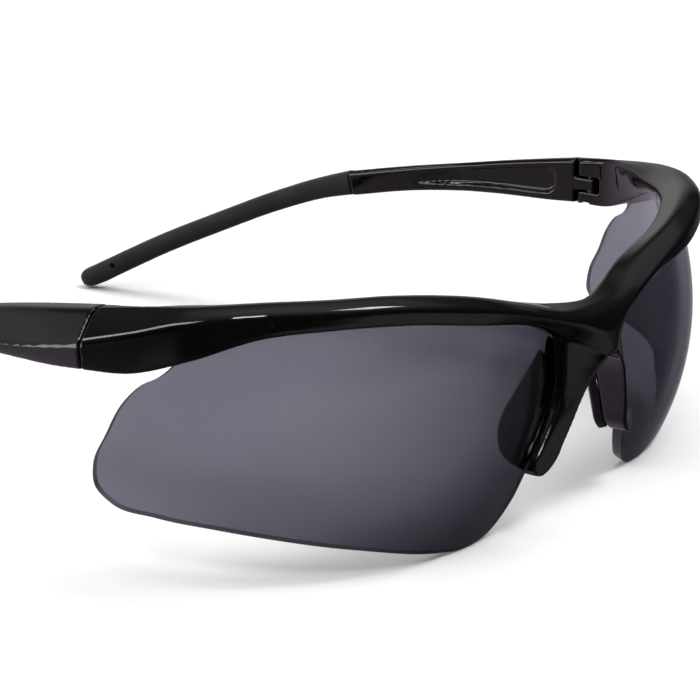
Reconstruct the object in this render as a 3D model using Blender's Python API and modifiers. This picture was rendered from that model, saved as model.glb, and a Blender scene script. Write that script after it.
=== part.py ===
"""Wrap-around half-rim safety glasses, standing open on a flat surface.

One black front frame holds two separate tinted lenses in a groove, and carries two soft nose pads.
Two temples fold on vertical hinge screws, and each ends in a rubber sleeve.
Lengths are in millimetres in the design frame: +X is the wearer's left, -Y is forward, +Z is up,
and y = 0 is the seam between the front frame and the temples.
"""
import math

import bmesh
import bpy
import numpy as np
from mathutils import Matrix, Vector

MM = 0.001

# Where the design frame's origin lies above and behind the point under the middle of the glasses.
STAND_HEIGHT = 2.55
MIDDLE_Y = 35.43

GAP = 0.3                                   # clearance between pieces that touch

# Lenses: shells cut from a sphere, flattened next to the nose.
LENS_CENTRE = (22.1, 6.7, 19.0)
LENS_RADIUS = 48.7
LENS_THICKNESS = 2.0
NOSE_CURVE = 0.35                           # share of the sphere's curve that is left inside x of its centre
LENS_COLUMNS = 27
LENS_ROWS = 12
# Each side of the lens outline as (angle round the sphere in degrees from straight ahead, height).
LENS_NOSE_EDGE = ((-2.6, -1.2), (-6.7, 3.0), (-9.0, 7.4), (-12.2, 11.0), (-15.8, 16.2), (-18.0, 21.5), (-18.6, 28.0))
LENS_TOP_EDGE = ((-18.6, 28.0), (-7.5, 32.2), (0.9, 34.2), (10.8, 36.0), (26.6, 38.0), (38.2, 38.4), (50.7, 37.6),
                 (58.4, 36.2), (64.5, 34.0))
LENS_OUTER_EDGE = ((77.6, 10.1), (80.5, 12.6), (80.4, 16.1), (77.7, 20.9), (74.2, 25.6), (70.4, 28.6), (67.0, 30.4),
                   (65.3, 32.0), (64.5, 34.0))
LENS_LOWER_EDGE = ((-2.6, -1.2), (5.0, -2.6), (12.8, -1.6), (34.0, 2.8), (58.7, 7.3), (69.2, 8.6), (77.6, 10.1))

# Front frame: five corners at each station from the middle out to the hinge seam, in the order
# lower front, front ridge, top front, top rear, lower rear.
BROW_STATIONS = (
    ((0.0, -47.0, 24.3), (0.0, -46.6, 28.2), (0.0, -44.3, 31.6), (0.0, -40.5, 32.3), (0.0, -40.0, 26.0)),
    ((8.1, -43.6, 27.5), (8.1, -45.6, 30.5), (8.1, -43.9, 32.3), (8.1, -38.9, 33.1), (8.1, -38.2, 28.4)),
    ((15.9, -43.5, 31.3), (15.8, -44.6, 33.2), (15.3, -41.5, 34.7), (15.3, -37.0, 34.5), (15.3, -37.5, 31.2)),
    ((31.7, -42.5, 35.1), (31.6, -42.2, 37.8), (30.8, -39.2, 39.3), (29.8, -35.1, 37.1), (30.0, -35.8, 34.9)),
    ((44.3, -37.7, 37.1), (44.2, -37.4, 39.9), (42.8, -34.8, 41.2), (40.5, -31.2, 38.9), (40.8, -31.7, 36.7)),
    ((52.9, -32.3, 37.4), (52.4, -31.9, 40.4), (50.5, -29.7, 41.4), (47.6, -26.6, 39.2), (48.1, -27.1, 37.0)),
    ((60.6, -25.0, 36.5), (59.9, -24.5, 40.4), (57.8, -22.8, 41.4), (54.5, -19.9, 39.2), (55.0, -20.4, 36.3)),
    ((65.8, -16.8, 33.2), (64.7, -16.0, 38.9), (62.9, -14.9, 40.5), (60.0, -13.2, 39.8), (60.8, -13.4, 33.1)),
    ((68.3, -7.6, 30.3), (67.9, -8.3, 36.3), (65.2, -7.6, 39.4), (63.6, -7.0, 39.5), (63.6, -7.0, 30.4)),
    ((70.4, 0.0, 30.0), (70.8, 0.0, 34.0), (67.2, 0.0, 38.6), (64.0, 0.0, 38.7), (64.0, 0.0, 30.2)),
)
BROW_ROUNDING = (0.6, 1.0, 1.5, 1.0, 0.6)
BROW_STEPS = 34

# Nose prongs: four corners at each station down the prong, in the order
# inner front, outer front, outer rear, inner rear.
PRONG_STATIONS = (
    ((-1.0, -46.8, 24.8), (6.0, -44.4, 30.0), (6.0, -39.0, 30.0), (-1.0, -40.2, 24.8)),
    ((1.6, -46.9, 23.7), (8.0, -43.3, 27.5), (8.0, -38.0, 27.5), (1.6, -40.0, 23.7)),
    ((3.7, -46.5, 22.1), (8.3, -43.2, 24.4), (8.3, -37.6, 24.4), (3.7, -40.0, 22.1)),
    ((5.2, -46.1, 20.3), (8.5, -43.3, 22.3), (8.5, -37.5, 22.3), (5.2, -39.9, 20.3)),
    ((6.6, -45.6, 17.9), (9.1, -43.2, 18.8), (9.3, -37.4, 18.8), (6.6, -39.8, 17.9)),
    ((8.0, -45.0, 14.7), (10.8, -42.9, 15.3), (11.0, -37.4, 15.3), (8.0, -39.6, 14.7)),
    ((9.4, -44.2, 11.3), (12.9, -42.6, 11.9), (13.0, -37.4, 11.9), (9.4, -39.4, 11.3)),
    ((10.3, -43.6, 8.9), (14.6, -42.3, 9.2), (14.7, -37.5, 9.2), (10.3, -39.4, 8.9)),
    ((11.6, -43.25, 7.55), (14.75, -42.2, 7.9), (14.75, -37.9, 7.9), (11.6, -39.45, 7.55)),
    ((13.0, -42.9, 6.75), (14.2, -42.4, 6.85), (14.2, -38.6, 6.85), (13.0, -39.3, 6.75)),
)
PRONG_ROUNDING = (0.7, 0.5, 0.5, 0.3)
PRONG_STEPS = 16

# Nose pads: the soft wing's free edge, from the top of the prong round to its foot.
PAD_EDGE = ((7.4, -36.6, 26.0), (9.8, -36.2, 24.0), (12.2, -35.6, 20.4), (13.8, -34.9, 16.2), (14.4, -34.8, 12.4),
            (14.6, -35.4, 9.8), (13.9, -36.4, 8.0))
PAD_ROOT_STATIONS = slice(2, 9)             # the prong stations that the pad is fixed behind
PAD_ROOT_THICKNESS = 1.6
PAD_EDGE_THICKNESS = 0.9
PAD_STEPS = 16

# Hinge: a vertical screw through two ears on the front frame and a tongue on the temple.
HINGE_X = 66.0
HINGE_Y = -2.5
TONGUE_LOW = 32.8
TONGUE_HIGH = 35.2
TONGUE_RADIUS = 2.0
SLOT_FRONT = -5.2
SLOT_OUTER_X = 68.6
SLOT_INNER_X = 61.0
EAR_CHAMFER_REACH = 2.6                     # distance from the hinge axis to the ears' chamfered corner
BORE_RADIUS = 1.1
BORE_TOP = 37.6
SCREW_RADIUS = 0.9
SCREW_HEAD_RADIUS = 1.6
SCREW_HEAD_HEIGHT = 0.9
SCREW_LOW = 30.4
SCREW_HIGH = 37.3
ROUND_SIDES = 24

# Temples: stations along y, each with how far it leans back for each millimetre of height, and with
# corners (x, z) in the order lower inner, lower outer, outer crease, top outer, top inner.
TEMPLE_STATIONS = (
    (0.3, 0.0, ((64.0, 30.2), (70.4, 30.0), (70.8, 33.8), (67.2, 38.6), (64.0, 38.7))),
    (6.0, 0.0, ((64.0, 29.9), (69.8, 29.3), (70.5, 32.3), (67.2, 37.7), (64.0, 37.9))),
    (17.0, 0.0, ((64.0, 29.6), (68.8, 28.7), (69.6, 30.3), (66.8, 35.9), (64.0, 36.2))),
    (25.0, 0.0, ((64.0, 29.1), (68.0, 28.3), (68.8, 29.6), (66.4, 34.5), (64.0, 34.8))),
    (38.0, 0.1, ((62.6, 27.7), (66.4, 27.1), (67.2, 28.3), (65.2, 32.4), (62.6, 32.6))),
    (51.4, 0.28, ((61.1, 25.2), (64.6, 24.9), (65.4, 26.0), (64.0, 29.8), (61.1, 30.0))),
)
TEMPLE_ROUNDING = (0.7, 0.6, 0.9, 1.1, 0.8)
TEMPLE_STEPS = 20

# Sleeve: centre line (x, y, z), half width and half height, from its mouth to the tip.
SLEEVE_STATIONS = (
    (63.1, 51.9, 27.5, 2.35, 2.75),
    (62.3, 59.0, 25.6, 2.3, 2.45),
    (60.7, 70.0, 21.6, 2.3, 2.3),
    (58.5, 84.0, 15.5, 2.4, 2.3),
    (55.7, 98.0, 9.0, 2.4, 2.35),
    (53.0, 109.0, 3.2, 2.3, 2.4),
    (51.9, 113.5, 0.8, 2.3, 2.4),
    (51.2, 116.2, -0.45, 2.0, 2.1),
    (50.9, 117.2, -0.9, 1.2, 1.3),
)
SLEEVE_STEPS = 26
SLEEVE_SIDES = 16
CORE_MARGIN = 1.05                          # how far the temple's tail lies inside the sleeve's skin
CORE_END_Y = 104.0
CORD_HOLE_Y = 108.6
CORD_HOLE_RADIUS = 0.6


def clear_scene():
    for old in list(bpy.data.objects):
        bpy.data.objects.remove(old, do_unlink=True)


def collection(name):
    made = bpy.data.collections.new(name)
    bpy.context.scene.collection.children.link(made)
    return made


def material(name, color, roughness, metallic=0.0, alpha=1.0):
    made = bpy.data.materials.new(name)
    made.use_nodes = True
    shader = made.node_tree.nodes["Principled BSDF"]
    shader.inputs["Base Color"].default_value = (*color, 1.0)
    shader.inputs["Roughness"].default_value = roughness
    shader.inputs["Metallic"].default_value = metallic
    shader.inputs["Alpha"].default_value = alpha
    made.diffuse_color = (*color, alpha)
    return made


def smooth_through(points, count):
    """Sample a smooth curve that passes through every given point."""
    points = np.asarray(points, float)
    spans = np.linalg.norm(np.diff(points, axis=0), axis=1)
    knots = np.concatenate([[0.0], np.cumsum(spans)])
    slopes = np.gradient(points, knots, axis=0)
    along = np.linspace(0.0, knots[-1], count)
    piece = np.clip(np.searchsorted(knots, along, side="right") - 1, 0, len(points) - 2)
    width = (knots[piece + 1] - knots[piece])[:, None]
    u = (along - knots[piece])[:, None] / width
    start, end = points[piece], points[piece + 1]
    return ((1 + 2 * u) * (1 - u) ** 2 * start + u * (1 - u) ** 2 * width * slopes[piece]
            + u ** 2 * (3 - 2 * u) * end - u ** 2 * (1 - u) * width * slopes[piece + 1])


def rounded(corners, radii, steps=2):
    """Round a closed polygon: each corner becomes a short curve of steps + 1 points."""
    ring = []
    total = len(corners)
    for i, corner in enumerate(corners):
        before = corners[i - 1] - corner
        after = corners[(i + 1) % total] - corner
        reach_before = min(radii[i], 0.45 * np.linalg.norm(before))
        reach_after = min(radii[i], 0.45 * np.linalg.norm(after))
        start = corner + before / np.linalg.norm(before) * reach_before
        end = corner + after / np.linalg.norm(after) * reach_after
        for k in range(steps + 1):
            t = k / steps
            ring.append((1 - t) ** 2 * start + 2 * t * (1 - t) * corner + t ** 2 * end)
    return np.array(ring)


def loft(rings, side=1, first_capped=True, last_capped=True):
    """Join equal rings of points into a skin, and close its ends with fans."""
    shape = bmesh.new()
    loops = [[shape.verts.new(Vector((side * p[0], p[1], p[2])) * MM) for p in ring] for ring in rings]
    total = len(loops[0])
    for near, far in zip(loops, loops[1:]):
        for i in range(total):
            j = (i + 1) % total
            shape.faces.new((near[i], near[j], far[j], far[i]))
    for loop, capped in ((loops[0], first_capped), (loops[-1], last_capped)):
        if capped:
            middle = shape.verts.new(sum((v.co for v in loop), Vector()) / total)
            for i in range(total):
                shape.faces.new((loop[i], loop[(i + 1) % total], middle))
    bmesh.ops.recalc_face_normals(shape, faces=shape.faces)
    if shape.calc_volume(signed=True) < 0:
        bmesh.ops.reverse_faces(shape, faces=shape.faces)
    return finish_mesh(shape)


def finish_mesh(shape, smooth_angle=math.radians(35)):
    mesh = bpy.data.meshes.new("shape")
    shape.to_mesh(mesh)
    shape.free()
    mesh.shade_smooth()
    mesh.set_sharp_from_angle(angle=smooth_angle)
    return mesh


def cylinder(x, y, low, high, radius, side):
    shape = bmesh.new()
    bmesh.ops.create_cone(shape, cap_ends=True, segments=ROUND_SIDES, radius1=radius * MM, radius2=radius * MM,
                          depth=(high - low) * MM,
                          matrix=Matrix.Translation(Vector((side * x, y, (low + high) / 2)) * MM))
    return finish_mesh(shape)


def block(low, high, side):
    low, high = Vector(low), Vector(high)
    centre = (low + high) / 2
    centre.x *= side
    shape = bmesh.new()
    bmesh.ops.create_cube(shape, size=MM, matrix=Matrix.Translation(centre * MM) @ Matrix.Diagonal((*(high - low), 1)))
    return finish_mesh(shape)


def hang(name, mesh, group, parent, finish=None):
    """Put a mesh made in design coordinates under an empty, with its origin on that empty."""
    origin = parent["design_origin"]
    mesh.transform(Matrix.Translation(-Vector(origin) * MM))
    mesh.name = name
    made = bpy.data.objects.new(name, mesh)
    group.objects.link(made)
    made.parent = parent
    if finish:
        mesh.materials.append(finish)
    return made


def empty(name, group, design_origin, parent=None):
    made = bpy.data.objects.new(name, None)
    group.objects.link(made)
    made["design_origin"] = design_origin
    made.parent = parent
    from_parent = Vector(design_origin)
    if parent:
        from_parent -= Vector(parent["design_origin"])
    else:
        from_parent += Vector((0.0, -MIDDLE_Y, STAND_HEIGHT))
    made.location = from_parent * MM
    return made


def cutter(name, mesh, group, parent):
    made = hang(name, mesh, group, parent)
    made.hide_render = True
    made.display_type = "WIRE"
    return made


def boolean(target, tool, operation="DIFFERENCE"):
    step = target.modifiers.new(operation.title(), "BOOLEAN")
    step.operation = operation
    step.object = tool


def lens_point(angle, height, radius):
    """A point on the lens's curved face, given its angle round the sphere in degrees and its height."""
    lift = math.asin((height - LENS_CENTRE[2]) / LENS_RADIUS)
    turn = math.radians(angle)
    forward = math.cos(turn) if turn > 0 else 1 - NOSE_CURVE * (1 - math.cos(turn))
    return Vector((LENS_CENTRE[0] + radius * math.cos(lift) * math.sin(turn),
                   LENS_CENTRE[1] - radius * math.cos(lift) * forward,
                   LENS_CENTRE[2] + radius * math.sin(lift)))


def lens_grid():
    """Blend the outline's four sides into a grid of (angle, height) pairs."""
    lower = smooth_through(LENS_LOWER_EDGE, LENS_COLUMNS)
    top = smooth_through(LENS_TOP_EDGE, LENS_COLUMNS)
    nose = smooth_through(LENS_NOSE_EDGE, LENS_ROWS)
    outer = smooth_through(LENS_OUTER_EDGE, LENS_ROWS)
    grid = np.zeros((LENS_COLUMNS, LENS_ROWS, 2))
    for i in range(LENS_COLUMNS):
        for j in range(LENS_ROWS):
            u, v = i / (LENS_COLUMNS - 1), j / (LENS_ROWS - 1)
            sides = (1 - v) * lower[i] + v * top[i] + (1 - u) * nose[j] + u * outer[j]
            corners = ((1 - u) * (1 - v) * lower[0] + u * (1 - v) * lower[-1]
                       + (1 - u) * v * top[0] + u * v * top[-1])
            grid[i, j] = sides - corners
    return grid


def lens_face(side, proud=0.0, spread=0.0):
    """The lens's outer face as an open sheet, raised by proud and widened at its edges by spread."""
    shape = bmesh.new()
    grid = lens_grid()
    points = [[lens_point(*grid[i, j], LENS_RADIUS + proud) for j in range(LENS_ROWS)] for i in range(LENS_COLUMNS)]
    if spread:
        for i in range(LENS_COLUMNS):
            points[i][0] += (points[i][0] - points[i][1]).normalized() * spread
            points[i][-1] += (points[i][-1] - points[i][-2]).normalized() * spread
        for j in range(LENS_ROWS):
            points[0][j] += (points[0][j] - points[1][j]).normalized() * spread
            points[-1][j] += (points[-1][j] - points[-2][j]).normalized() * spread
    rows = [[shape.verts.new(Vector((side * p.x, p.y, p.z)) * MM) for p in column] for column in points]
    for i in range(LENS_COLUMNS - 1):
        for j in range(LENS_ROWS - 1):
            corners = [rows[i][j], rows[i + 1][j], rows[i + 1][j + 1], rows[i][j + 1]]
            shape.faces.new(corners if side > 0 else corners[::-1])
    return finish_mesh(shape)


def thicken(target, thickness):
    shell = target.modifiers.new("Thickness", "SOLIDIFY")
    shell.thickness = thickness * MM
    shell.offset = -1.0


def prong_rings():
    corners = smooth_through(np.reshape(PRONG_STATIONS, (len(PRONG_STATIONS), -1)), PRONG_STEPS)
    return [rounded(ring.reshape(4, 3), PRONG_ROUNDING) for ring in corners]


def pad_rings():
    """The pad lies on the prong's rear face, and tapers outwards from it to a thin curved edge."""
    stations = np.array(PRONG_STATIONS)[PAD_ROOT_STATIONS]
    outer = smooth_through(stations[:, 2], PAD_STEPS)
    inner = smooth_through(stations[:, 3], PAD_STEPS)
    edge = smooth_through(PAD_EDGE, PAD_STEPS)
    rearward = np.cross(outer - inner, np.gradient((inner + outer) / 2, axis=0))
    rearward /= np.linalg.norm(rearward, axis=1)[:, None]
    return [np.array((near + GAP * out, far + GAP * out, tip, tip + PAD_EDGE_THICKNESS * out,
                      near + (GAP + PAD_ROOT_THICKNESS) * out))
            for near, far, tip, out in zip(inner, outer, edge, rearward)]


def temple_rings():
    flat = [np.concatenate([[y, lean], np.ravel(corners)]) for y, lean, corners in TEMPLE_STATIONS]
    rings = []
    for row in smooth_through(flat, TEMPLE_STEPS):
        y, lean = row[:2]
        corners = row[2:].reshape(5, 2)
        middle = corners[:, 1].mean()
        spaced = np.array([(x, y + lean * (z - middle), z) for x, z in corners])
        rings.append(rounded(spaced, TEMPLE_ROUNDING))
    return rings


def sleeve_rings(shrink=0.0, first=0.0, last_y=None):
    """Rounded-square rings square to the sleeve's centre line, shrunk inside its skin by shrink."""
    track = smooth_through(SLEEVE_STATIONS, SLEEVE_STEPS)
    if last_y is not None:
        track = track[track[:, 1] < last_y]
    rings = []
    for k, (x, y, z, half_width, half_height) in enumerate(track):
        ahead = track[min(k + 1, len(track) - 1), :3] - track[max(k - 1, 0), :3]
        ahead /= np.linalg.norm(ahead)
        lateral = np.cross(ahead, (0.0, 0.0, 1.0))
        lateral /= np.linalg.norm(lateral)
        upward = np.cross(lateral, ahead)
        centre = np.array((x, y, z)) + ahead * (first if k == 0 else 0.0)
        ring = []
        for i in range(SLEEVE_SIDES):
            turn = math.tau * (i + 0.5) / SLEEVE_SIDES
            squared = 0.9 / max(abs(math.cos(turn)), abs(math.sin(turn))) ** 0.6
            ring.append(centre + lateral * (half_width - shrink) * squared * math.cos(turn)
                        + upward * (half_height - shrink) * squared * math.sin(turn))
        rings.append(np.array(ring))
    return rings


def ear_chamfer(side):
    """A long block whose flat face stands EAR_CHAMFER_REACH from the hinge axis, across the ears' inner corner."""
    reach, half, tall = EAR_CHAMFER_REACH, 3.0, 14.0
    shape = bmesh.new()
    turn = Matrix.Rotation(math.radians(135), 4, "Z")
    place = Matrix.Translation(Vector((HINGE_X, HINGE_Y, 34.5)) * MM)
    away = Matrix.Translation(Vector((reach + half, 0.0, 0.0)) * MM)
    bmesh.ops.create_cube(shape, size=MM, matrix=place @ turn @ away @ Matrix.Diagonal((2 * half, 2 * half, tall, 1)))
    if side < 0:
        bmesh.ops.scale(shape, vec=(-1, 1, 1), verts=shape.verts)
        bmesh.ops.reverse_faces(shape, faces=shape.faces)
    return finish_mesh(shape)


def build_front(parts, cutters, root, finish):
    corners = smooth_through(np.reshape(BROW_STATIONS, (len(BROW_STATIONS), -1)), BROW_STEPS)
    corners[0, ::3] = 0.0
    rings = [rounded(ring.reshape(5, 3), BROW_ROUNDING) for ring in corners]
    front = hang("front_frame", loft(rings, first_capped=False), parts, root, finish)
    halves = front.modifiers.new("Both halves", "MIRROR")
    halves.merge_threshold = 0.00001
    for side, suffix in ((1, "left"), (-1, "right")):
        prong = cutter(f"prong_shape_{suffix}", loft(prong_rings(), side), cutters, root)
        boolean(front, prong, "UNION")
    for side, suffix in ((1, "left"), (-1, "right")):
        groove = cutter(f"lens_groove_{suffix}", lens_face(side, GAP, GAP), cutters, root)
        thicken(groove, LENS_THICKNESS + 2 * GAP)
        slot = cutter(f"hinge_slot_{suffix}",
                      block((SLOT_INNER_X, SLOT_FRONT, TONGUE_LOW - GAP), (SLOT_OUTER_X, 1.0, TONGUE_HIGH + GAP), side),
                      cutters, root)
        bore = cutter(f"hinge_bore_{suffix}",
                      cylinder(HINGE_X, HINGE_Y, 28.0, BORE_TOP, BORE_RADIUS, side), cutters, root)
        seat = cutter(f"screw_seat_{suffix}",
                      cylinder(HINGE_X, HINGE_Y, 28.0, SCREW_LOW + SCREW_HEAD_HEIGHT + GAP, SCREW_HEAD_RADIUS + GAP,
                               side), cutters, root)
        corner = cutter(f"ear_corner_{suffix}", ear_chamfer(side), cutters, root)
        for tool in (groove, slot, bore, seat, corner):
            boolean(front, tool)


def build_side(side, suffix, parts, cutters, root, finishes):
    lens = hang(f"lens_{suffix}", lens_face(side), parts, root, finishes["lens"])
    thicken(lens, LENS_THICKNESS)
    hang(f"nose_pad_{suffix}", loft(pad_rings(), side), parts, root, finishes["pad"])
    hinge = empty(f"hinge_axis_{suffix}", parts, (side * HINGE_X, HINGE_Y, 0.0), root)

    screw = hang(f"hinge_screw_{suffix}", cylinder(HINGE_X, HINGE_Y, SCREW_LOW, SCREW_HIGH, SCREW_RADIUS, side),
                 parts, root, finishes["screw"])
    head = cutter(f"screw_head_{suffix}",
                  cylinder(HINGE_X, HINGE_Y, SCREW_LOW, SCREW_LOW + SCREW_HEAD_HEIGHT, SCREW_HEAD_RADIUS, side),
                  cutters, root)
    boolean(screw, head, "UNION")

    temple = hang(f"temple_{suffix}", loft(temple_rings(), side), parts, hinge, finishes["temple"])
    tongue_end = cutter(f"tongue_end_{suffix}",
                        cylinder(HINGE_X, HINGE_Y, TONGUE_LOW, TONGUE_HIGH, TONGUE_RADIUS, side), cutters, hinge)
    tongue = cutter(f"tongue_{suffix}",
                    block((HINGE_X - TONGUE_RADIUS, HINGE_Y, TONGUE_LOW), (HINGE_X + TONGUE_RADIUS, 2.0, TONGUE_HIGH),
                          side), cutters, hinge)
    tail = cutter(f"tail_{suffix}", loft(sleeve_rings(CORE_MARGIN + GAP, -4.0, CORE_END_Y), side), cutters, hinge)
    for tool in (tongue, tongue_end, tail):
        boolean(temple, tool, "UNION")
    eye = cutter(f"tongue_eye_{suffix}",
                 cylinder(HINGE_X, HINGE_Y, TONGUE_LOW - 1, TONGUE_HIGH + 1, BORE_RADIUS, side), cutters, hinge)
    boolean(temple, eye)

    sleeve = hang(f"temple_sleeve_{suffix}", loft(sleeve_rings(), side), parts, hinge, finishes["sleeve"])
    pocket = cutter(f"sleeve_pocket_{suffix}", loft(sleeve_rings(CORE_MARGIN, -2.0, CORE_END_Y + 1.5), side),
                    cutters, hinge)
    boolean(sleeve, pocket)
    hole_at = smooth_through(SLEEVE_STATIONS, 200)
    hole_at = hole_at[np.argmin(np.abs(hole_at[:, 1] - CORD_HOLE_Y))]
    shape = bmesh.new()
    place = Matrix.Translation(Vector((side * hole_at[0], hole_at[1], hole_at[2])) * MM)
    bmesh.ops.create_cone(shape, cap_ends=True, segments=ROUND_SIDES // 2, radius1=CORD_HOLE_RADIUS * MM,
                          radius2=CORD_HOLE_RADIUS * MM, depth=10 * MM,
                          matrix=place @ Matrix.Rotation(math.pi / 2, 4, "Y"))
    boolean(sleeve, cutter(f"cord_hole_{suffix}", finish_mesh(shape), cutters, hinge))


def main():
    clear_scene()
    parts = collection("safety_glasses")
    cutters = collection("cutters")
    root = empty("safety_glasses_stand", parts, (0.0, 0.0, 0.0))
    finishes = {
        "front": material("front_black", (0.012, 0.012, 0.014), 0.12),
        "temple": material("temple_black", (0.014, 0.013, 0.016), 0.14),
        "lens": material("lens_smoke", (0.10, 0.10, 0.12), 0.05, alpha=0.75),
        "pad": material("pad_rubber", (0.03, 0.025, 0.03), 0.5),
        "sleeve": material("sleeve_rubber", (0.02, 0.02, 0.02), 0.6),
        "screw": material("screw_steel", (0.6, 0.6, 0.62), 0.3, metallic=1.0),
    }
    build_front(parts, cutters, root, finishes["front"])
    for side, suffix in ((1, "left"), (-1, "right")):
        build_side(side, suffix, parts, cutters, root, finishes)


main()
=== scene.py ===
"""The looks of a pair of wrap-around half-rim safety glasses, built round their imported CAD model.

Shapes are worked out in millimetres in the design frame (+X the wearer's left, -Y forward, +Z up, y = 0 at
the seam between the front frame and the temples) and are then placed in the CAD model's frame in metres.
"""

import math

import bmesh
import bpy
import numpy as np
from mathutils import Matrix, Vector


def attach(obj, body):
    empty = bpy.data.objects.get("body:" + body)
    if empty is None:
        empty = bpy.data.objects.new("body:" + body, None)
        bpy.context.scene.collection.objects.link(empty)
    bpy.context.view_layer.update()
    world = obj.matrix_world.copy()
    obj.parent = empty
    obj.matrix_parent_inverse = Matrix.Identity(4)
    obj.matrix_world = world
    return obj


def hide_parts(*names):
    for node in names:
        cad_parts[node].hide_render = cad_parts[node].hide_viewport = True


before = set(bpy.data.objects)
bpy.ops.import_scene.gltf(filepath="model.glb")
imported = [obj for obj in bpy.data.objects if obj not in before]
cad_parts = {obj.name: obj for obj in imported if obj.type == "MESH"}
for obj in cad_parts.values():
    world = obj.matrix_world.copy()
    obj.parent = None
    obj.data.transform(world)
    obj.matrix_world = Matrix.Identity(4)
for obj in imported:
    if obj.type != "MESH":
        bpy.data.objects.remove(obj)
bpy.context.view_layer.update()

MM = 0.001
STAND_HEIGHT = 2.55
MIDDLE_Y = 35.43
SMALL_GAP = 0.1                             # clearance between pieces that are pressed together
GAP = 0.3                                   # clearance between pieces that turn or slide

LENS_CENTRE = (22.1, 6.7, 19.0)
LENS_RADIUS = 48.7
LENS_THICKNESS = 2.0
NOSE_CURVE = 0.35                           # share of the sphere's curve that is left inside x of its centre
LENS_COLUMNS = 120
LENS_ROWS = 64
LENS_PAINTED_SHADE_SPAN = (20.0, 80.0)              # where the tint's painted shade grading starts and ends, outwards and upwards
LENS_PAINTED_SHADE_RISE = 0.8                       # how much a millimetre up counts towards the grading
LENS_PAINTED_SHADE_POWER = 1.6                      # more than 1 keeps the middle of the lens darker, as painted shade
LENS_RIM = 0.28                             # width of the rim's polished bevel
LENS_RIM_STEPS = 3
GROOVE_COLUMNS = 70
GROOVE_ROWS = 30
# Each side of the lens outline as (angle round the sphere in degrees from straight ahead, height).
LENS_NOSE_EDGE = ((-2.6, -1.2), (-6.7, 3.0), (-9.0, 7.4), (-12.2, 11.0), (-15.8, 16.2), (-18.0, 21.5),
                  (-18.6, 28.0))
LENS_TOP_EDGE = ((-18.6, 28.0), (-7.5, 32.2), (0.9, 34.2), (10.8, 36.0), (26.6, 38.0), (38.2, 38.4),
                 (50.7, 37.6), (58.4, 36.2), (64.5, 34.0))
LENS_OUTER_EDGE = ((77.6, 10.1), (80.5, 12.6), (80.4, 16.1), (77.7, 20.9), (74.6, 25.8), (71.2, 28.7),
                   (68.0, 30.1), (65.7, 31.8), (64.5, 34.0))
LENS_LOWER_EDGE = ((-2.6, -1.2), (5.0, -2.6), (12.8, -1.6), (34.0, 2.8), (58.7, 7.3), (69.2, 8.6),
                   (77.6, 10.1))

# Front frame: five corners at each station from the middle out to the hinge seam, in the order
# lower front, front ridge, top front, top rear, lower rear.
BROW_STATIONS = (
    ((0.0, -47.0, 24.3), (0.0, -46.6, 28.2), (0.0, -44.3, 31.6), (0.0, -40.5, 32.3), (0.0, -40.0, 26.0)),
    ((8.1, -43.6, 27.5), (8.1, -45.6, 30.5), (8.1, -43.9, 32.3), (8.1, -38.9, 33.1), (8.1, -38.2, 28.4)),
    ((15.9, -43.5, 31.3), (15.8, -44.6, 33.2), (15.3, -41.5, 34.7), (15.3, -37.0, 34.5), (15.3, -37.5, 31.2)),
    ((31.7, -42.5, 35.1), (31.6, -42.2, 37.8), (30.8, -39.2, 39.3), (29.8, -35.1, 37.1), (30.0, -35.8, 34.9)),
    ((44.3, -37.7, 37.1), (44.2, -37.4, 39.9), (42.8, -34.8, 41.2), (40.5, -31.2, 38.9), (40.8, -31.7, 36.7)),
    ((52.9, -32.3, 37.4), (52.4, -31.9, 40.4), (50.5, -29.7, 41.4), (47.6, -26.6, 39.2), (48.1, -27.1, 37.0)),
    ((60.6, -25.0, 36.5), (59.9, -24.5, 40.4), (57.8, -22.8, 41.4), (54.5, -19.9, 39.2), (55.0, -20.4, 36.3)),
    ((65.8, -16.8, 33.2), (64.7, -16.0, 38.9), (62.9, -14.9, 40.5), (60.0, -13.2, 39.8), (60.8, -13.4, 33.1)),
    ((68.3, -7.6, 30.3), (67.9, -8.3, 36.3), (65.2, -7.6, 39.4), (63.6, -7.0, 39.5), (63.6, -7.0, 30.4)),
    ((70.4, 0.0, 30.0), (70.8, 0.0, 34.0), (67.2, 0.0, 38.6), (64.0, 0.0, 38.7), (64.0, 0.0, 30.2)),
)
BROW_ROUNDING = (0.6, 1.0, 1.5, 1.0, 0.6)
BROW_STEPS = 130

# Nose prongs: four corners at each station down the prong, in the order
# inner front, outer front, outer rear, inner rear.
PRONG_STATIONS = (
    ((-1.0, -46.8, 24.8), (6.0, -44.4, 30.0), (6.0, -39.0, 30.0), (-1.0, -40.2, 24.8)),
    ((1.6, -46.9, 23.7), (8.0, -43.3, 27.5), (8.0, -38.0, 27.5), (1.6, -40.0, 23.7)),
    ((3.7, -46.5, 22.1), (8.3, -43.2, 24.4), (8.3, -37.6, 24.4), (3.7, -40.0, 22.1)),
    ((5.2, -46.1, 20.3), (8.5, -43.3, 22.3), (8.5, -37.5, 22.3), (5.2, -39.9, 20.3)),
    ((6.6, -45.6, 17.9), (9.1, -43.2, 18.8), (9.3, -37.4, 18.8), (6.6, -39.8, 17.9)),
    ((8.0, -45.0, 14.7), (10.8, -42.9, 15.3), (11.0, -37.4, 15.3), (8.0, -39.6, 14.7)),
    ((9.4, -44.2, 11.3), (12.9, -42.6, 11.9), (13.0, -37.4, 11.9), (9.4, -39.4, 11.3)),
    ((10.3, -43.6, 8.9), (14.6, -42.3, 9.2), (14.7, -37.5, 9.2), (10.3, -39.4, 8.9)),
    ((11.6, -43.25, 7.55), (14.75, -42.2, 7.9), (14.75, -37.9, 7.9), (11.6, -39.45, 7.55)),
    ((13.0, -42.9, 6.75), (14.2, -42.4, 6.85), (14.2, -38.6, 6.85), (13.0, -39.3, 6.75)),
)
PRONG_ROUNDING = (0.7, 0.5, 0.5, 0.3)
PRONG_STEPS = 64

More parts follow.
